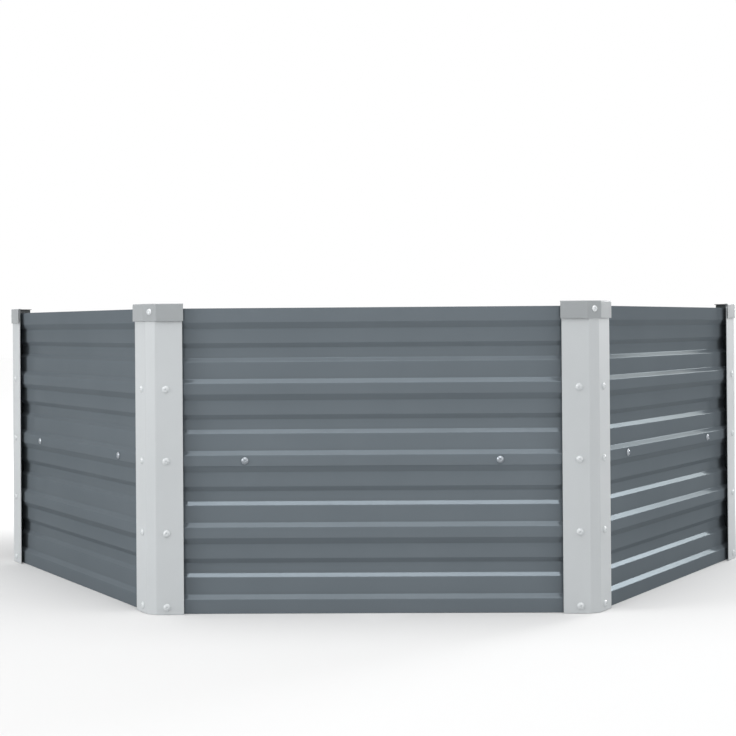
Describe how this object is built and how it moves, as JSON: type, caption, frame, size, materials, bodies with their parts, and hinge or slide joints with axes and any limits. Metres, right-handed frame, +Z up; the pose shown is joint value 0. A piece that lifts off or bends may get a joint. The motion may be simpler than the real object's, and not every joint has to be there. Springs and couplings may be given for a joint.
{
  "type": "raised garden bed",
  "caption": "Hexagonal raised garden bed, open below and above, with ribbed steel walls bolted to folded corner posts that carry screwed bands.",
  "frame": {"origin": "on the ground, at the centre of the bed", "axes": "+Z up, -Y towards the front side, +X along the front side and through two opposite corner posts"},
  "size_m": [1.3216, 1.152, 0.46],
  "materials": {
    "sheet_paint": "satin powder coat, slate grey",
    "post_paint": "satin powder coat, pale grey",
    "cap_finish": "satin, mid grey",
    "zinc_plate": "bright zinc plate"
  },
  "bodies": {
    "root": {"sheet_front_lower": "sheet_paint", "sheet_front_upper": "sheet_paint", "lap_bolt_front_1": "zinc_plate", "lap_nut_front_1": "zinc_plate", "lap_bolt_front_2": "zinc_plate", "lap_nut_front_2": "zinc_plate", "sheet_front_right_lower": "sheet_paint", "sheet_front_right_upper": "sheet_paint", "lap_bolt_front_right_1": "zinc_plate", "lap_nut_front_right_1": "zinc_plate", "lap_bolt_front_right_2": "zinc_plate", "lap_nut_front_right_2": "zinc_plate", "sheet_back_right_lower": "sheet_paint", "sheet_back_right_upper": "sheet_paint", "lap_bolt_back_right_1": "zinc_plate", "lap_nut_back_right_1": "zinc_plate", "lap_bolt_back_right_2": "zinc_plate", "lap_nut_back_right_2": "zinc_plate", "sheet_back_lower": "sheet_paint", "sheet_back_upper": "sheet_paint", "lap_bolt_back_1": "zinc_plate", "lap_nut_back_1": "zinc_plate", "lap_bolt_back_2": "zinc_plate", "lap_nut_back_2": "zinc_plate", "sheet_back_left_lower": "sheet_paint", "sheet_back_left_upper": "sheet_paint", "lap_bolt_back_left_1": "zinc_plate", "lap_nut_back_left_1": "zinc_plate", "lap_bolt_back_left_2": "zinc_plate", "lap_nut_back_left_2": "zinc_plate", "sheet_front_left_lower": "sheet_paint", "sheet_front_left_upper": "sheet_paint", "lap_bolt_front_left_1": "zinc_plate", "lap_nut_front_left_1": "zinc_plate", "lap_bolt_front_left_2": "zinc_plate", "lap_nut_front_left_2": "zinc_plate", "post_front_right": "post_paint", "post_cap_front_right": "cap_finish", "cap_screw_front_right": "zinc_plate", "post_right": "post_paint", "post_cap_right": "cap_finish", "cap_screw_right": "zinc_plate", "post_back_right": "post_paint", "post_cap_back_right": "cap_finish", "cap_screw_back_right": "zinc_plate", "post_back_left": "post_paint", "post_cap_back_left": "cap_finish", "cap_screw_back_left": "zinc_plate", "post_left": "post_paint", "post_cap_left": "cap_finish", "cap_screw_left": "zinc_plate", "post_front_left": "post_paint", "post_cap_front_left": "cap_finish", "cap_screw_front_left": "zinc_plate"}
  },
  "joints": []
}
